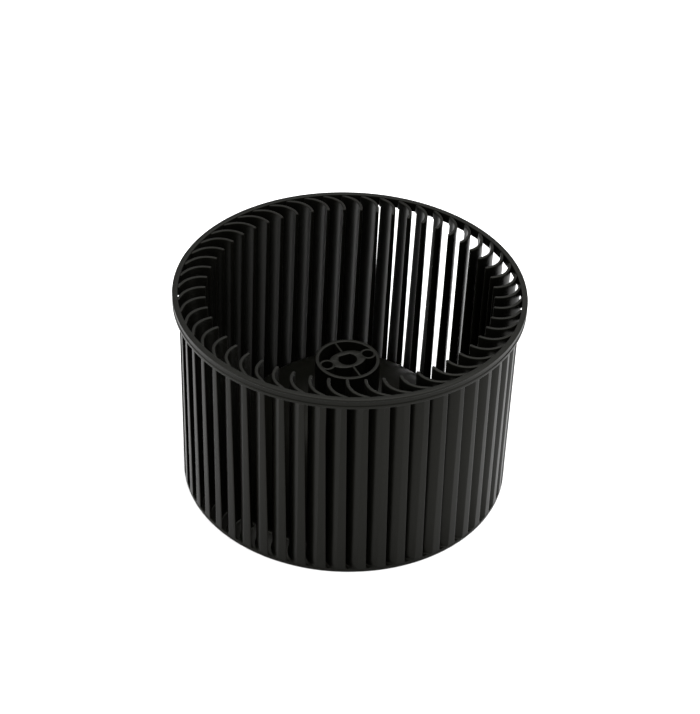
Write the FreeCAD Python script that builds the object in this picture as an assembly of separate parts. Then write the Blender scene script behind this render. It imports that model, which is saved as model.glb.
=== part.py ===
# Forward-curved blower wheel, in millimetres.
# +Z runs along the shaft towards the open inlet; the origin is on the axis at the base.
import FreeCAD, Part
import math
import os

# wheel body
wheelRadius = 76.0          # outside of the top ring
wheelHeight = 97.0          # base to the top of the ring
ringHeight = 4.5
ringWall = 2.4
ringWaist = 0.3             # the band between lip and bead lies this much deeper
ringLip = 0.9               # height of the lip at the top edge
ringBead = 1.3              # height of the bead at the lower edge
bodyDraft = 0.2             # the whole row of blades comes in by this much at the base
plateThickness = 1.8

# blades
bladeCount = 53
bladeTopThickness = 1.4
bladeBaseThickness = 2.2
bladeTwist = 1.0            # degrees that the base of each blade lies further forwards than its top
bladeDepth = 11.9           # inner edge to outer edge, measured along the radius at the ring
bladeFlatLength = 1.2       # straight radial part at the inner edge
bladeArcRadius = 9.7        # radius of the centreline's bend
bladeBend = 68.0            # degrees that the bend turns forwards; it runs on straight after that
bladeTopDrop = 0.3          # blade tops below the top of the ring
bladeSetback = 0.4          # below the ring the outer edges lie this far inside its inner face
bladePhase = -1.55          # degrees, inner edge of the first blade's top from +X

# dome over the motor
domeToBladeGap = 2.4        # from the dome's foot to the blades' inner edges
domeWall = 2.0
domeLandHeight = 44.7       # flat on top of the dome that carries the hub
domeLandMargin = 0.6        # the flat is this much wider than the hub ring

# hub
hubTopHeight = 59.0
hubAngle = 27.0             # degrees, line of the two screw bosses from +X
hubRingRadius = 14.3
hubRingWall = 1.8
coreHalfWidth = 5.9
coreBossLap = 2.3           # how far the oval core reaches along each screw boss
barrelRadius = 7.0          # round part of the core that passes through the dome
barrelDrop = 10.0           # how far it reaches below the dome's flat
boreRadius = 4.0
boreFlatDistance = 3.1      # from the axis to the flat of the D
leadInClearance = 0.4       # the round hole in the barrel is this much larger in radius
screwHoleRadius = 2.4
screwHoleInset = 0.2        # from the hub ring's inner face to the edge of each screw hole
screwBossWall = 1.2
ribThickness = 1.1

# sizes that follow from the ones above
ringInnerRadius = wheelRadius - ringWall
ringBottom = wheelHeight - ringHeight
plateRadius = ringInnerRadius - bladeSetback - bodyDraft
bladeInnerRadius = ringInnerRadius - bladeDepth
bladeTop = wheelHeight - bladeTopDrop
domeFootRadius = bladeInnerRadius - bodyDraft - domeToBladeGap
domeLandRadius = hubRingRadius + domeLandMargin
hubRingInnerRadius = hubRingRadius - hubRingWall
screwCircleRadius = hubRingInnerRadius - screwHoleInset - screwHoleRadius
screwBossRadius = screwHoleRadius + screwBossWall
coreHalfLength = screwCircleRadius - screwBossRadius + coreBossLap
barrelBottom = domeLandHeight - barrelDrop

axisUp = FreeCAD.Vector(0, 0, 1)
origin = FreeCAD.Vector(0, 0, 0)


def at(x, y, z=0.0):
    return FreeCAD.Vector(x, y, z)


def line(start, end):
    return Part.LineSegment(start, end).toShape()


def arc(start, middle, end):
    return Part.Arc(start, middle, end).toShape()


def extrude(edges, height):
    return Part.Face(Part.Wire(edges)).extrude(at(0, 0, height))


def revolve(edges):
    return Part.Face(Part.Wire(edges)).revolve(origin, axisUp, 360)


def outline(points):
    # closed chain of straight edges in the XZ plane, for a revolved section
    corners = [at(radius, 0, z) for radius, z in points]
    return [line(a, b) for a, b in zip(corners, corners[1:] + corners[:1])]


def disc(radius, low, high, x=0.0, y=0.0):
    return Part.makeCylinder(radius, high - low, at(x, y, low))


def turned(shape, degrees):
    copy = shape.copy()
    copy.rotate(origin, axisUp, degrees)
    return copy


def topRing():
    waist = wheelRadius - ringWaist
    return revolve(outline([
        (ringInnerRadius, ringBottom),
        (wheelRadius, ringBottom),
        (wheelRadius, ringBottom + ringBead),
        (waist, ringBottom + ringBead + ringWaist),
        (waist, wheelHeight - ringLip - ringWaist),
        (wheelRadius, wheelHeight - ringLip),
        (wheelRadius, wheelHeight),
        (ringInnerRadius, wheelHeight),
    ]))


def backPlate():
    return disc(plateRadius, 0, plateThickness).cut(disc(domeFootRadius, 0, plateThickness))


def bladeBody():
    # ring-shaped space that the blades fill: it widens from the plate up to the ring,
    # then steps out to the ring's inner face
    return revolve(outline([
        (domeFootRadius, plateThickness),
        (plateRadius, plateThickness),
        (ringInnerRadius - bladeSetback, ringBottom),
        (ringInnerRadius, ringBottom),
        (ringInnerRadius, bladeTop),
        (domeFootRadius, bladeTop),
    ]))


def bladeSection(z, draft, thickness):
    # radial at the inner edge, bent forwards along an arc, then straight;
    # the straight tail runs past the outer edge, where the body's shape trims it
    half = thickness / 2
    bend = math.radians(bladeBend)
    innerRadius = bladeInnerRadius - draft
    bendStart = innerRadius + bladeFlatLength
    tail = at(math.cos(bend), math.sin(bend)) * (2 * bladeDepth)
    nose = innerRadius + half

    def onBend(radius, angle):
        return at(bendStart + radius * math.sin(angle), bladeArcRadius - radius * math.cos(angle), z)

    back = bladeArcRadius + half
    front = bladeArcRadius - half
    return Part.Wire([
        line(at(nose, -half, z), at(bendStart, -half, z)),
        arc(onBend(back, 0), onBend(back, bend / 2), onBend(back, bend)),
        line(onBend(back, bend), onBend(back, bend) + tail),
        line(onBend(back, bend) + tail, onBend(front, bend) + tail),
        line(onBend(front, bend) + tail, onBend(front, bend)),
        arc(onBend(front, bend), onBend(front, bend / 2), onBend(front, 0)),
        line(at(bendStart, half, z), at(nose, half, z)),
        arc(at(nose, half, z), at(innerRadius, 0, z), at(nose, -half, z)),
    ])


def firstBlade():
    # thicker, further in and turned forwards at the base
    base = turned(bladeSection(plateThickness, bodyDraft, bladeBaseThickness), bladeTwist)
    top = bladeSection(bladeTop, 0, bladeTopThickness)
    return Part.makeLoft([base, top], True, True).common(bladeBody())


def motorDome():
    # spherical shell with a cylindrical foot, and a flat on top
    footHeight = plateThickness
    rise = domeLandHeight - footHeight
    centre = (domeLandHeight + footHeight) / 2 - (domeFootRadius ** 2 - domeLandRadius ** 2) / (2 * rise)
    outer = math.hypot(domeFootRadius, footHeight - centre)
    inner = outer - domeWall
    landUnderside = domeLandHeight - domeWall

    def onSphere(radius, angle):
        return at(radius * math.sin(angle), 0, centre + radius * math.cos(angle))

    footAngle = math.acos((footHeight - centre) / outer)
    landAngle = math.acos((domeLandHeight - centre) / outer)
    mouthAngle = math.acos(-centre / inner)
    roofAngle = math.acos((landUnderside - centre) / inner)
    section = [
        line(at(domeFootRadius, 0, 0), onSphere(outer, footAngle)),
        arc(onSphere(outer, footAngle), onSphere(outer, (footAngle + landAngle) / 2), onSphere(outer, landAngle)),
        line(onSphere(outer, landAngle), at(barrelRadius, 0, domeLandHeight)),
        line(at(barrelRadius, 0, domeLandHeight), at(barrelRadius, 0, landUnderside)),
        line(at(barrelRadius, 0, landUnderside), onSphere(inner, roofAngle)),
        arc(onSphere(inner, roofAngle), onSphere(inner, (roofAngle + mouthAngle) / 2), onSphere(inner, mouthAngle)),
        line(onSphere(inner, mouthAngle), at(domeFootRadius, 0, 0)),
    ]
    return revolve(section)


def hubRing():
    return disc(hubRingRadius, domeLandHeight, hubTopHeight).cut(
        disc(hubRingInnerRadius, domeLandHeight, hubTopHeight))


def screwBoss(side):
    x = side * screwCircleRadius
    boss = disc(screwBossRadius, domeLandHeight, hubTopHeight, x)
    inside = disc(hubRingInnerRadius, domeLandHeight, hubTopHeight)
    return boss.common(inside).cut(disc(screwHoleRadius, domeLandHeight, hubTopHeight, x))


def hubBosses():
    return Part.makeCompound([screwBoss(1), screwBoss(-1)])


def shaftBore():
    # D-shaped socket in the hub, with a plain round lead-in through the barrel below it
    socket = disc(boreRadius, domeLandHeight, hubTopHeight)
    flatSide = Part.makeBox(2 * boreRadius, boreRadius, hubTopHeight - domeLandHeight,
                            at(-boreRadius, boreFlatDistance, domeLandHeight))
    return socket.cut(flatSide).fuse(disc(boreRadius + leadInClearance, barrelBottom, domeLandHeight))


def hubCore():
    oval = Part.Ellipse(at(0, 0, domeLandHeight), coreHalfLength, coreHalfWidth).toShape()
    top = extrude([oval], hubTopHeight - domeLandHeight)
    for side in (1, -1):
        top = top.cut(disc(screwBossRadius, domeLandHeight, hubTopHeight, side * screwCircleRadius))
    barrel = disc(barrelRadius, barrelBottom, domeLandHeight)
    return top.fuse(barrel).cut(shaftBore()).removeSplitter()


def hubRib(side):
    height = hubTopHeight - domeLandHeight
    corner = at(-ribThickness / 2, 0 if side > 0 else -hubRingRadius, domeLandHeight)
    bar = Part.makeBox(ribThickness, hubRingRadius, height, corner)
    oval = Part.Ellipse(at(0, 0, domeLandHeight), coreHalfLength, coreHalfWidth).toShape()
    inside = disc(hubRingInnerRadius, domeLandHeight, hubTopHeight)
    return bar.common(inside).cut(extrude([oval], height))


def hubRibs():
    return Part.makeCompound([hubRib(1), hubRib(-1)])


def save(name, shape):
    if not shape.isValid():
        raise RuntimeError(name + " is not a valid solid")
    shape.exportStep("parts/" + name + ".step")
    print(name, round(shape.Volume, 1))


os.makedirs("parts", exist_ok=True)

save("top_ring", topRing())
save("back_plate", backPlate())
save("motor_dome", motorDome())
save("hub_ring", hubRing())
save("hub_core", turned(hubCore(), hubAngle))
save("hub_ribs", turned(hubRibs(), hubAngle))
save("hub_bosses", turned(hubBosses(), hubAngle))

blade = firstBlade()
for number in range(bladeCount):
    angle = bladePhase + number * 360.0 / bladeCount
    save("blade_%02d" % (number + 1), turned(blade, angle))
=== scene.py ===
import bpy
import math
from mathutils import Matrix, Vector


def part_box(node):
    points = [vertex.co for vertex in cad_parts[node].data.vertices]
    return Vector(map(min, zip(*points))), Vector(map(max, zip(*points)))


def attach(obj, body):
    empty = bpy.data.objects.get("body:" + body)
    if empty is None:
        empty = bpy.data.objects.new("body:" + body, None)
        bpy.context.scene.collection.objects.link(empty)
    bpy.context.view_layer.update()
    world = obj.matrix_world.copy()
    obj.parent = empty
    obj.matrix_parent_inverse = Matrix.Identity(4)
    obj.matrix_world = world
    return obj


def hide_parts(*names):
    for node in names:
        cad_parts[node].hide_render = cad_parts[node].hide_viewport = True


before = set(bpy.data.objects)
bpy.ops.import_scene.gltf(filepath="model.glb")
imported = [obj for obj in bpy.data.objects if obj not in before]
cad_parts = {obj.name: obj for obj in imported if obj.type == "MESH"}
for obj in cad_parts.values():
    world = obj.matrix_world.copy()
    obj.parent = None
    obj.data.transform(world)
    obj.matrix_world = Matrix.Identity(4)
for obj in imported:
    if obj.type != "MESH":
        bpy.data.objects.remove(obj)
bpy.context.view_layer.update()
print("frame loaded:", len(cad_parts), "nodes")


class Wire:
    # one output socket of a tree; arithmetic on wires adds the Math nodes for it
    def __init__(self, tree, socket):
        self.tree = tree
        self.socket = socket

    def add(self, kind, settings, inputs, output=0):
        made = self.tree.nodes.new(kind)
        for name, value in settings.items():
            if name == "stops":
                fillRamp(made.color_ramp, value)
            else:
                setattr(made, name, value)
        for name, value in inputs.items():
            if isinstance(value, Wire):
                self.tree.links.new(value.socket, made.inputs[name])
            else:
                made.inputs[name].default_value = value
        return None if output is None else Wire(self.tree, made.outputs[output])

    def math(self, operation, first, second):
        return self.add("ShaderNodeMath", {"operation": operation}, {0: first, 1: second})

    def __add__(self, other):
        return self.math("ADD", self, other)

    def __radd__(self, other):
        return self.math("ADD", other, self)

    def __sub__(self, other):
        return self.math("SUBTRACT", self, other)

    def __rsub__(self, other):
        return self.math("SUBTRACT", other, self)

    def __mul__(self, other):
        return self.math("MULTIPLY", self, other)

    def __rmul__(self, other):
        return self.math("MULTIPLY", other, self)

    def __truediv__(self, other):
        return self.math("DIVIDE", self, other)

    def __rtruediv__(self, other):
        return self.math("DIVIDE", other, self)


def fillRamp(ramp, stops):
    while len(ramp.elements) < len(stops):
        ramp.elements.new(0.5)
    for element, (position, level) in zip(ramp.elements, stops):
        element.position = position
        element.color = (level, level, level, 1)


def mixedColour(factor, first, second):
    # a Mix node's sixth and seventh inputs and second output are its colours
    return factor.add("ShaderNodeMix", {"data_type": "RGBA"}, {"Factor": factor, 6: first, 7: second}, 2)


# black moulded plastic: fine grain, faint flow marks and a little dust film
plasticLook = {
    "colour": (0.0018, 0.0018, 0.0013, 1),
    "dustColour": (0.0040, 0.0040, 0.0032, 1),
    "dustAmount": 0.35,
    "dustStops": [(0.42, 0.0), (0.75, 1.0)],
    "roughness": 0.33,
    "roughnessByMarks": 0.10,
    "roughnessByGrain": 0.06,
    "specular": 0.085,
    "specularTint": (1.0, 1.0, 0.9, 1),
    "grain": {"Scale": 1 / 0.00035, "Detail": 2.0, "Roughness": 0.5},
    "grainDepth": 0.000012,
    "grainStrength": 0.6,
    "marks": {"Scale": 1 / 0.012, "Detail": 4.0, "Roughness": 0.6},
}
evenMarks = (1.0, 1.0, 1.0)
marksAlongBlade = (1.0, 1.0, 0.12)


def mouldedPlastic(name, look, streaks):
    material = bpy.data.materials.new(name)
    material.use_nodes = True
    tree = material.node_tree
    tree.nodes.clear()
    place = Wire(tree, tree.nodes.new("ShaderNodeTexCoord").outputs["Object"])
    stretched = place.add("ShaderNodeMapping", {}, {"Vector": place, "Scale": streaks})
    marks = place.add("ShaderNodeTexNoise", {}, {"Vector": stretched, **look["marks"]})
    grain = place.add("ShaderNodeTexNoise", {}, {"Vector": place, **look["grain"]})
    film = place.add("ShaderNodeValToRGB", {"stops": look["dustStops"]}, {"Fac": marks})
    colour = mixedColour(film * look["dustAmount"], look["colour"], look["dustColour"])
    roughness = (look["roughness"] + look["roughnessByMarks"] * (marks - 0.5)
                 + look["roughnessByGrain"] * (grain - 0.5))
    bump = place.add("ShaderNodeBump", {}, {"Height": grain, "Distance": look["grainDepth"],
                                            "Strength": look["grainStrength"]})
    shader = place.add("ShaderNodeBsdfPrincipled", {}, {
        "Base Color": colour, "Roughness": roughness, "Normal": bump,
        "Specular IOR Level": look["specular"], "Specular Tint": look["specularTint"]})
    place.add("ShaderNodeOutputMaterial", {}, {"Surface": shader}, None)
    return material


bladePlastic = mouldedPlastic("bladePlastic", plasticLook, marksAlongBlade)
shellPlastic = mouldedPlastic("shellPlastic", plasticLook, evenMarks)
hubPlastic = mouldedPlastic("hubPlastic", plasticLook, evenMarks)
print("materials ready")


smoothBelow = math.radians(38)


def shadedMesh(name, points, faces, sharpAngle):
    mesh = bpy.data.meshes.new(name)
    mesh.from_pydata(points, [], faces)
    mesh.validate()
    mesh.polygons.foreach_set("use_smooth", [True] * len(mesh.polygons))
    mesh.set_sharp_from_angle(angle=sharpAngle)
    return mesh


def placePiece(name, mesh, material, node):
    mesh.materials.append(material)
    piece = bpy.data.objects.new(name, mesh)
    bpy.context.scene.collection.objects.link(piece)
    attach(piece, "root")
    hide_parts(node)


def finishPiece(name, solid, material, node):
    # solid is a list of points and a list of faces
    placePiece(name, shadedMesh(name, *solid, smoothBelow), material, node)


def between(first, last, steps):
    return [first + (last - first) * i / steps for i in range(steps + 1)]


def roundedLoop(corners, steps=5):
    # corners are (radius, z, rounding), in order round the section; each is rounded by an arc
    loop = []
    count = len(corners)
    for i, (x, z, rounding) in enumerate(corners):
        corner = Vector((x, z))
        if rounding == 0:
            loop.append((x, z))
            continue
        before = (Vector(corners[i - 1][:2]) - corner).normalized()
        after = (Vector(corners[(i + 1) % count][:2]) - corner).normalized()
        half = before.angle(after) / 2
        centre = corner + (before + after).normalized() * (rounding / math.sin(half))
        start = corner + before * (rounding / math.tan(half))
        end = corner + after * (rounding / math.tan(half))
        loop += [tuple(point) for point in arcAbout(centre, start, end, steps)]
    return loop


def arcAbout(centre, start, end, steps):
    a, b = start - centre, end - centre
    turn = math.atan2(a.x * b.y - a.y * b.x, a.dot(b))
    return [centre + Vector((a.x * math.cos(t) - a.y * math.sin(t), a.x * math.sin(t) + a.y * math.cos(t)))
            for t in between(0.0, turn, steps)]


def sphereSection(radius, height, first, last, steps):
    # points between two angles from the axis, without the ends
    return [(radius * math.sin(angle), height + radius * math.cos(angle))
            for angle in between(first, last, steps)[1:-1]]


def spunSection(loop, steps, centre=(0.0, 0.0)):
    # closed section turned round an upright axis
    # the loop runs clockwise, seen with z up and the axis at the left
    points = []
    faces = []
    size = len(loop)
    for k in range(steps):
        angle = 2 * math.pi * k / steps
        c, s = math.cos(angle), math.sin(angle)
        points += [(centre[0] + r * c, centre[1] + r * s, z) for r, z in loop]
        here, there = k * size, (k + 1) % steps * size
        for j in range(size):
            n = (j + 1) % size
            faces.append((here + j, here + n, there + n, there + j))
    return points, faces


def stackedOutlines(outer, inner, levels, steps, turn=0.0):
    # wall between two outlines given as radius by angle
    # levels are (z, rounding taken off the outer, rounding taken off the inner)
    loops = []
    points = []
    faces = []
    for z, trimOuter, trimInner in levels:
        for outline, trim in ((outer, -trimOuter), (inner, trimInner)):
            loops.append(len(points))
            for k in range(steps):
                angle = 2 * math.pi * k / steps
                r = outline(angle) + trim
                points.append((r * math.cos(angle + turn), r * math.sin(angle + turn), z))
    for level in range(len(levels) - 1):
        for side in (0, 1):
            low = loops[2 * level + side]
            high = loops[2 * level + 2 + side]
            for k in range(steps):
                n = (k + 1) % steps
                quad = (low + k, low + n, high + n, high + k)
                faces.append(quad if side == 0 else quad[::-1])
    for base, flip in ((0, True), (2 * (len(levels) - 1), False)):
        for k in range(steps):
            n = (k + 1) % steps
            quad = (loops[base] + k, loops[base] + n, loops[base + 1] + n, loops[base + 1] + k)
            faces.append(quad[::-1] if flip else quad)
    return points, faces


def roundedTop(low, high, rounding, steps=4):
    # upright wall whose top edges are rounded
    levels = [(low, 0.0, 0.0)]
    for i in range(steps + 1):
        angle = math.pi / 2 * i / steps
        trim = rounding * (1 - math.cos(angle))
        levels.append((high - rounding + rounding * math.sin(angle), trim, trim))
    return levels


ringLow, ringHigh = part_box("top_ring")
plateLow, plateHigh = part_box("back_plate")
domeLow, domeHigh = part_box("motor_dome")
hubLow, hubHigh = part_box("hub_ring")
bladeLow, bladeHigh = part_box("blade_01")
wheelRadius = (ringHigh.x - ringLow.x) / 2
plateRadius = (plateHigh.x - plateLow.x) / 2
domeFoot = (domeHigh.x - domeLow.x) / 2

ring = {
    "wall": 0.0024, "waist": 0.0003, "lip": 0.0009, "bead": 0.0013,
    "edge": 0.00022, "softEdge": 0.0002, "steps": 424,
}
ringInner = wheelRadius - ring["wall"]


def topRing():
    waist = wheelRadius - ring["waist"]
    low, high = ringLow.z, ringHigh.z
    loop = roundedLoop([
        (ringInner, low, ring["softEdge"]),
        (ringInner, high, ring["edge"]),
        (wheelRadius, high, ring["edge"]),
        (wheelRadius, high - ring["lip"], ring["softEdge"]),
        (waist, high - ring["lip"] - ring["waist"], ring["softEdge"]),
        (waist, low + ring["bead"] + ring["waist"], ring["softEdge"]),
        (wheelRadius, low + ring["bead"], ring["softEdge"]),
        (wheelRadius, low, ring["edge"]),
    ])
    finishPiece("topRing", spunSection(loop, ring["steps"]), shellPlastic, "top_ring")


topRing()
print("top ring made")


plate = {"rimEdge": 0.0004, "steps": 318}


def backPlate():
    loop = roundedLoop([
        (domeFoot, plateLow.z, 0),
        (domeFoot, plateHigh.z, 0),
        (plateRadius, plateHigh.z, plate["rimEdge"]),
        (plateRadius, plateLow.z, plate["rimEdge"]),
    ])
    finishPiece("backPlate", spunSection(loop, plate["steps"]), shellPlastic, "back_plate")


dome = {
    "landMargin": 0.0006, "barrelRadius": 0.007, "wall": 0.002, "steps": 318, "arcSteps": 40,
    "footFillet": 0.0015, "footSeam": 0.0001, "filletTurn": 0.025, "filletSteps": 5,
}


def motorDome():
    # spherical shell with a cylindrical foot, a fillet above the foot and a flat on top
    footHeight = plateHigh.z
    top = domeHigh.z
    barrel = dome["barrelRadius"]
    land = (hubHigh.x - hubLow.x) / 2 + dome["landMargin"]
    centre = (top + footHeight) / 2 - (domeFoot ** 2 - land ** 2) / (2 * (top - footHeight))
    outer = math.hypot(domeFoot, footHeight - centre)
    inner = outer - dome["wall"]
    underside = top - dome["wall"]
    footAngle = math.acos((footHeight - centre) / outer)
    landAngle = math.acos((top - centre) / outer)
    mouthAngle = math.acos(-centre / inner)
    roofAngle = math.acos((underside - centre) / inner)
    fillet = dome["footFillet"]
    loop = [(domeFoot, 0.0), (domeFoot, footHeight - dome["footSeam"]), (domeFoot + fillet, footHeight)]
    for angle in between(0, math.pi / 2, dome["filletSteps"])[1:-1]:
        loop.append((domeFoot + fillet * (1 - math.sin(angle)), footHeight + fillet * (1 - math.cos(angle))))
    loop += sphereSection(outer, centre, footAngle - dome["filletTurn"], landAngle, dome["arcSteps"])
    loop += [(outer * math.sin(landAngle), top), (barrel, top), (barrel, underside)]
    loop.append((inner * math.sin(roofAngle), underside))
    loop += sphereSection(inner, centre, roofAngle, mouthAngle, dome["arcSteps"])
    loop.append((inner * math.sin(mouthAngle), 0.0))
    loop.reverse()
    finishPiece("motorDome", spunSection(loop, dome["steps"]), shellPlastic, "motor_dome")


backPlate()
motorDome()
print("back plate and dome made")


hub = {
    "angle": math.radians(27.0), "wall": 0.0018, "coreLength": 0.0086, "coreWidth": 0.0059,
    "bore": 0.004, "flat": 0.0031, "leadIn": 0.0044, "barrelDrop": 0.010, "barrelEdge": 0.0004,
    "screwHole": 0.0024, "screwWall": 0.0012, "screwOffset": 0.0099, "rib": 0.0011,
    "edge": 0.0003, "edgeMiddle": 0.3, "step": 0.00003,
    "ringSteps": 160, "coreSteps": 240, "barrelSteps": 96, "bossSteps": 64,
}
hubRadius = (hubHigh.x - hubLow.x) / 2
hubTop = hubHigh.z - hub["step"]    # core, bosses and ribs end just under the ring's top


def hubTube(name, inner, outer, top, steps, node, centre=(0.0, 0.0)):
    # upright tube on the dome with rounded top edges
    loop = roundedLoop([
        (inner, hubLow.z, 0),
        (inner, top, hub["edge"]),
        (outer, top, hub["edge"]),
        (outer, hubLow.z, 0),
    ])
    finishPiece(name, spunSection(loop, steps, centre), hubPlastic, node)


def hubRing():
    hubTube("hubRing", hubRadius - hub["wall"], hubRadius, hubHigh.z, hub["ringSteps"], "hub_ring")


def ovalOutline(angle):
    # oval along the line of the screw bosses, hollowed at its ends round each of them
    oval = 1 / math.hypot(math.cos(angle) / hub["coreLength"], math.sin(angle) / hub["coreWidth"])
    along = abs(hub["screwOffset"] * math.cos(angle))
    reach = hub["screwHole"] + hub["screwWall"] / 2
    apart = (hub["screwOffset"] * math.sin(angle)) ** 2
    notch = along - math.sqrt(reach ** 2 - apart) if apart < reach ** 2 else oval
    return min(oval, notch)


def socketOutline(angle):
    # round hole with one flat side
    towardsFlat = math.sin(angle)
    return min(hub["bore"], hub["flat"] / towardsFlat) if towardsFlat > 0 else hub["bore"]


def hubCore():
    levels = roundedTop(hubLow.z, hubTop, hub["edge"])
    core = stackedOutlines(ovalOutline, socketOutline, levels, hub["coreSteps"], hub["angle"])
    finishPiece("hubCore", core, hubPlastic, "hub_core")
    low = hubLow.z - hub["barrelDrop"]
    loop = roundedLoop([
        (hub["leadIn"], low, hub["barrelEdge"]),
        (hub["leadIn"], hubLow.z, 0),
        (dome["barrelRadius"], hubLow.z, 0),
        (dome["barrelRadius"], low, hub["barrelEdge"]),
    ])
    finishPiece("hubBarrel", spunSection(loop, hub["barrelSteps"]), hubPlastic, "hub_core")


def hubBosses():
    outer = hub["screwHole"] + hub["screwWall"]
    for name, side in (("screwBossRight", 1), ("screwBossLeft", -1)):
        offset = side * hub["screwOffset"]
        centre = (offset * math.cos(hub["angle"]), offset * math.sin(hub["angle"]))
        hubTube(name, hub["screwHole"], outer, hubTop, hub["bossSteps"], "hub_bosses", centre)


def hubRibs():
    along = Vector((-math.sin(hub["angle"]), math.cos(hub["angle"]), 0))
    across = Vector((math.cos(hub["angle"]), math.sin(hub["angle"]), 0))
    half, edge, middle = hub["rib"] / 2, hub["edge"], hub["edge"] * hub["edgeMiddle"]
    rightSide = [(half, hubLow.z), (half, hubHigh.z - edge), (half - middle, hubHigh.z - middle),
                 (half - edge, hubTop)]
    section = [(-half, hubLow.z)] + rightSide + [(-width, z) for width, z in rightSide[:0:-1]]
    size = len(section)
    for name, side in (("hubRibRear", 1), ("hubRibFront", -1)):
        inner = side * (hub["coreWidth"] - 2 * edge)
        outer = side * (hubRadius - hub["wall"] / 2)
        points = [along * reach + across * width + Vector((0, 0, z))
                  for reach in (inner, outer) for width, z in section]
        faces = [(i, (i + 1) % size, (i + 1) % size + size, i + size) for i in range(size)]
        faces += [tuple(range(size - 1, -1, -1)), tuple(range(size, 2 * size))]
        if side > 0:
            faces = [face[::-1] for face in faces]
        finishPiece(name, (points, faces), hubPlastic, "hub_ribs")


hubRing()
hubCore()
hubBosses()
hubRibs()
print("hub made")


blade = {
    "count": 53, "phase": math.radians(-1.55), "play": 0.0012, "seed": 7,
    "depth": 0.0119, "topThickness": 0.0014, "baseThickness": 0.0022,
    "flat": 0.0012, "bendRadius": 0.0097, "bend": math.radians(68.0),
    "twist": math.radians(1.0), "draft": 0.0002, "setback": 0.0004, "step": 0.0001,
    "tipRound": 0.00028, "backRound": 0.0006, "mostRound": 0.8, "topRound": 0.00035, "rootFillet": 0.0007,
    "noseSteps": 8, "sideSteps": 14, "backSteps": 3, "landSteps": 4, "tipSteps": 5, "edgeSteps": 4,
    "bodySteps": 5, "ringSteps": 2, "halvings": 40, "sharpAngle": math.radians(40),
}
bladeInner = ringInner - blade["depth"]


def centreLine(s, inner):
    # point and forward-facing normal at a length s from the inner edge
    radius = blade["bendRadius"]
    if s < blade["flat"]:
        return Vector((inner + s, 0)), Vector((0, 1))
    angle = min((s - blade["flat"]) / radius, blade["bend"])
    beyond = s - blade["flat"] - radius * angle
    along = Vector((math.cos(angle), math.sin(angle)))
    point = Vector((inner + blade["flat"] + radius * math.sin(angle), radius * (1 - math.cos(angle))))
    return point + along * beyond, Vector((-along.y, along.x))


def lengthAt(offset, radius, inner):
    # how far out along the blade a line at this offset meets a circle round the axis
    near, far = 0.0, 3 * blade["depth"]
    for _ in range(blade["halvings"]):
        s = (near + far) / 2
        point, normal = centreLine(s, inner)
        if (point + normal * offset).length < radius:
            near = s
        else:
            far = s
    return near


def sidePoints(first, last, inner, offset):
    # points along one side of the blade, without the ends
    lines = [centreLine(s, inner) for s in between(first, last, blade["sideSteps"])[1:-1]]
    return [point + normal * offset for point, normal in lines]


def bladeSection(z, grow):
    # closed outline at one height: nose, back, rounded edge, outer land, sharp tip, front
    # the base is turned forwards
    share = (z - plateHigh.z) / (bladeHigh.z - plateHigh.z)
    thickness = blade["baseThickness"] + (blade["topThickness"] - blade["baseThickness"]) * share
    inner = bladeInner - blade["draft"] * (1 - share)
    radius = bodyRadius(z)
    half = thickness / 2 + grow
    noseCentre = centreLine(thickness / 2, inner)[0]
    nose = [noseCentre + Vector((math.cos(t), math.sin(t))) * half
            for t in between(math.pi / 2, 1.5 * math.pi, blade["noseSteps"])]
    corners = []
    for side, rounding in ((-1, blade["backRound"]), (1, blade["tipRound"])):
        rounding = min(rounding, half * blade["mostRound"])
        offset = side * (half - rounding)
        s = lengthAt(offset, radius - rounding, inner)
        point, normal = centreLine(s, inner)
        centre = point + normal * offset
        corners.append((s, centre, point + normal * side * half, centre * (radius / centre.length)))
    (sBack, centreBack, backEnd, landStart), (sFront, centreFront, frontEnd, landEnd) = corners
    outline = nose + sidePoints(thickness / 2, sBack, inner, -half)
    outline += arcAbout(centreBack, backEnd, landStart, blade["backSteps"])
    outline += arcAbout(Vector((0, 0)), landStart, landEnd, blade["landSteps"])[1:-1]
    outline += arcAbout(centreFront, landEnd, frontEnd, blade["tipSteps"])
    outline += sidePoints(sFront, thickness / 2, inner, half)
    twist = Matrix.Rotation(blade["twist"] * (1 - share), 2)
    return [twist @ point for point in outline]


def bodyRadius(z):
    # the blades' outer edges widen from the plate up to the ring, then step out to its inner face
    if z > ringLow.z - blade["step"] / 2:
        return ringInner
    share = (z - plateHigh.z) / (ringLow.z - plateHigh.z)
    return plateRadius + (ringInner - blade["setback"] - plateRadius) * share


def bladeLevels():
    # heights, each with what the outline grows by: a fillet at the foot, a rounding at the top
    fillet, rounding = blade["rootFillet"], blade["topRound"]
    quarter = between(0.0, math.pi / 2, blade["edgeSteps"])
    body = between(bladeLow.z + fillet, ringLow.z - blade["step"], blade["bodySteps"])[1:]
    body += between(ringLow.z, bladeHigh.z - rounding, blade["ringSteps"])[:-1]
    levels = [(bladeLow.z + fillet * (1 - math.cos(t)), fillet * (1 - math.sin(t))) for t in quarter]
    levels += [(z, 0.0) for z in body]
    levels += [(bladeHigh.z - rounding + rounding * math.sin(t), -rounding * (1 - math.cos(t)))
               for t in quarter]
    return levels


def bladeMesh():
    levels = bladeLevels()
    points = []
    for z, grow in levels:
        points += [(p.x, p.y, z) for p in bladeSection(z, grow)]
    size = len(points) // len(levels)
    faces = [tuple(range(size - 1, -1, -1)), tuple(range(size * (len(levels) - 1), size * len(levels)))]
    for level in range(len(levels) - 1):
        for i in range(size):
            a = level * size + i
            b = level * size + (i + 1) % size
            faces.append((a, b, b + size, a + size))
    return shadedMesh("bladeShape", points, faces, blade["sharpAngle"])


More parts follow.
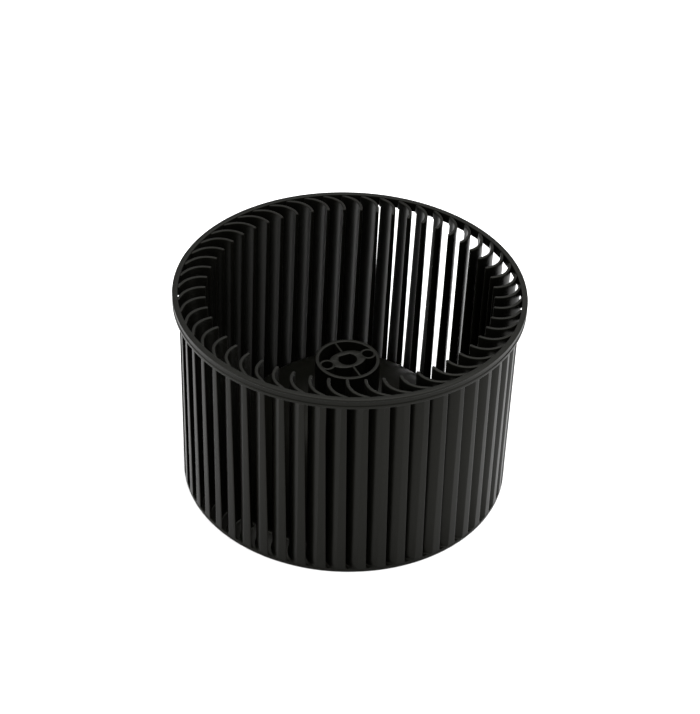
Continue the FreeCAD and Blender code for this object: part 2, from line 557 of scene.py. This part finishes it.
def ringOfBladesTree():
    # one blade repeated round the axis, each with its number, made real
    tree = bpy.data.node_groups.new("ringOfBlades", "GeometryNodeTree")
    sockets = tree.interface
    sockets.new_socket("Geometry", in_out="INPUT", socket_type="NodeSocketGeometry")
    sockets.new_socket("Count", in_out="INPUT", socket_type="NodeSocketInt")
    sockets.new_socket("Phase", in_out="INPUT", socket_type="NodeSocketFloat")
    sockets.new_socket("Play", in_out="INPUT", socket_type="NodeSocketFloat")
    sockets.new_socket("Seed", in_out="INPUT", socket_type="NodeSocketInt")
    sockets.new_socket("Material", in_out="INPUT", socket_type="NodeSocketMaterial")
    sockets.new_socket("Geometry", in_out="OUTPUT", socket_type="NodeSocketGeometry")
    given = tree.nodes.new("NodeGroupInput").outputs
    shape, count, phase, play, seed, material = [Wire(tree, socket) for socket in given[:6]]
    places = count.add("GeometryNodePoints", {}, {"Count": count})
    number = count.add("GeometryNodeInputIndex", {}, {})
    chance = seed.add("FunctionNodeRandomValue", {"data_type": "FLOAT"}, {2: -1.0, 3: 1.0, "Seed": seed}, 1)
    angle = number * (2 * math.pi / count) + phase + chance * play
    turn = angle.add("ShaderNodeCombineXYZ", {}, {"Z": angle})
    rotation = turn.add("FunctionNodeEulerToRotation", {}, {"Euler": turn})
    blades = shape.add("GeometryNodeInstanceOnPoints", {}, {
        "Points": places, "Instance": shape, "Rotation": rotation})
    numbered = blades.add("GeometryNodeStoreNamedAttribute", {"data_type": "INT", "domain": "INSTANCE"}, {
        "Geometry": blades, "Name": "bladeNumber", "Value": number})
    real = numbered.add("GeometryNodeRealizeInstances", {}, {"Geometry": numbered})
    painted = real.add("GeometryNodeSetMaterial", {}, {"Geometry": real, "Material": material})
    painted.add("NodeGroupOutput", {}, {0: painted}, None)
    return tree


def ringOfBlades():
    tree = ringOfBladesTree()
    pattern = bladeMesh()
    holder = bpy.data.objects.new("ringOfBlades", pattern)
    bpy.context.scene.collection.objects.link(holder)
    modifier = holder.modifiers.new("ringOfBlades", "NODES")
    modifier.node_group = tree
    values = {
        "Count": blade["count"], "Phase": blade["phase"], "Play": blade["play"], "Seed": blade["seed"],
        "Material": bladePlastic,
    }
    for item in tree.interface.items_tree:
        if item.name in values:
            modifier[item.identifier] = values[item.name]
    evaluated = holder.evaluated_get(bpy.context.evaluated_depsgraph_get())
    whole = bpy.data.meshes.new_from_object(evaluated)
    places = [v.co.copy() for v in whole.vertices]
    numbers = [value.value for value in whole.attributes["bladeNumber"].data]
    bpy.data.objects.remove(holder)
    return pattern, places, numbers


def separateBlades():
    pattern, places, numbers = ringOfBlades()
    size = len(pattern.vertices)
    for k in range(blade["count"]):
        own = slice(k * size, (k + 1) * size)
        number = numbers[own][0] + 1
        mesh = pattern.copy()
        mesh.vertices.foreach_set("co", [value for point in places[own] for value in point])
        mesh.update()
        placePiece("bladeShape_%02d" % number, mesh, bladePlastic, "blade_%02d" % number)


separateBlades()
print("blades made")


studio = {
    "floorSize": 14.0, "floorColour": (0.9, 0.9, 0.9, 1), "floorShade": 0.985,
    "floorRoughness": 0.9, "floorSpecular": 0.1, "floorClouds": {"Scale": 3.0, "Detail": 3.0},
    "skyLevel": 0.9, "skyColour": (1, 1, 1, 1), "aimHeight": 0.05,
    "overhead": {"size": 2.6, "power": 92, "place": (0.25, 0.3, 2.2)},
    "rightPanel": {"size": 1.6, "power": 19, "place": (2.0, -0.4, 0.9)},
    "leftPanel": {"size": 1.6, "power": 26, "place": (-2.0, -0.3, 0.9)},
}


def studioFloor():
    half = studio["floorSize"] / 2
    corners = [(-half, -half, 0), (half, -half, 0), (half, half, 0), (-half, half, 0)]
    mesh = bpy.data.meshes.new("studioFloor")
    mesh.from_pydata(corners, [], [(0, 1, 2, 3)])
    floor = bpy.data.objects.new("studioFloor", mesh)
    bpy.context.scene.collection.objects.link(floor)
    material = bpy.data.materials.new("floorPaper")
    material.use_nodes = True
    tree = material.node_tree
    shader = tree.nodes["Principled BSDF"]
    shader.inputs["Roughness"].default_value = studio["floorRoughness"]
    shader.inputs["Specular IOR Level"].default_value = studio["floorSpecular"]
    place = Wire(tree, tree.nodes.new("ShaderNodeTexCoord").outputs["Object"])
    clouds = place.add("ShaderNodeTexNoise", {}, {"Vector": place, **studio["floorClouds"]})
    bright = studio["floorColour"]
    dim = tuple(v * studio["floorShade"] for v in bright[:3]) + (1,)
    tree.links.new(mixedColour(clouds, dim, bright).socket, shader.inputs["Base Color"])
    mesh.materials.append(material)


def softbox(name, size, power, place):
    data = bpy.data.lights.new(name, "AREA")
    data.shape = "SQUARE"
    data.size = size
    data.energy = power
    light = bpy.data.objects.new(name, data)
    light.location = place
    aim = Vector((0, 0, studio["aimHeight"])) - Vector(place)
    light.rotation_euler = aim.to_track_quat("-Z", "Y").to_euler()
    bpy.context.scene.collection.objects.link(light)


def studioLight():
    world = bpy.data.worlds.new("studioSky")
    world.use_nodes = True
    sky = world.node_tree.nodes["Background"]
    sky.inputs["Color"].default_value = studio["skyColour"]
    sky.inputs["Strength"].default_value = studio["skyLevel"]
    bpy.context.scene.world = world
    for name in ("overhead", "rightPanel", "leftPanel"):
        softbox(name, **studio[name])


view = {
    "place": (0.0, -0.6648, 0.5747), "aim": (0.0010, 0.0, 0.0601), "roll": math.radians(2.16),
    "lens": 96.5, "sensor": 36, "clipStart": 0.01,
}


def studioCamera():
    data = bpy.data.cameras.new("studioCamera")
    data.lens = view["lens"]
    data.sensor_width = view["sensor"]
    data.clip_start = view["clipStart"]
    camera = bpy.data.objects.new("studioCamera", data)
    camera.location = view["place"]
    gaze = (Vector(view["aim"]) - Vector(view["place"])).to_track_quat("-Z", "Y").to_matrix()
    camera.rotation_euler = gaze.to_euler()
    camera.rotation_euler.rotate_axis("Z", view["roll"])
    bpy.context.scene.collection.objects.link(camera)
    bpy.context.scene.camera = camera


studioFloor()
studioLight()
studioCamera()
bpy.context.scene.view_settings.view_transform = "Standard"
print("studio ready")
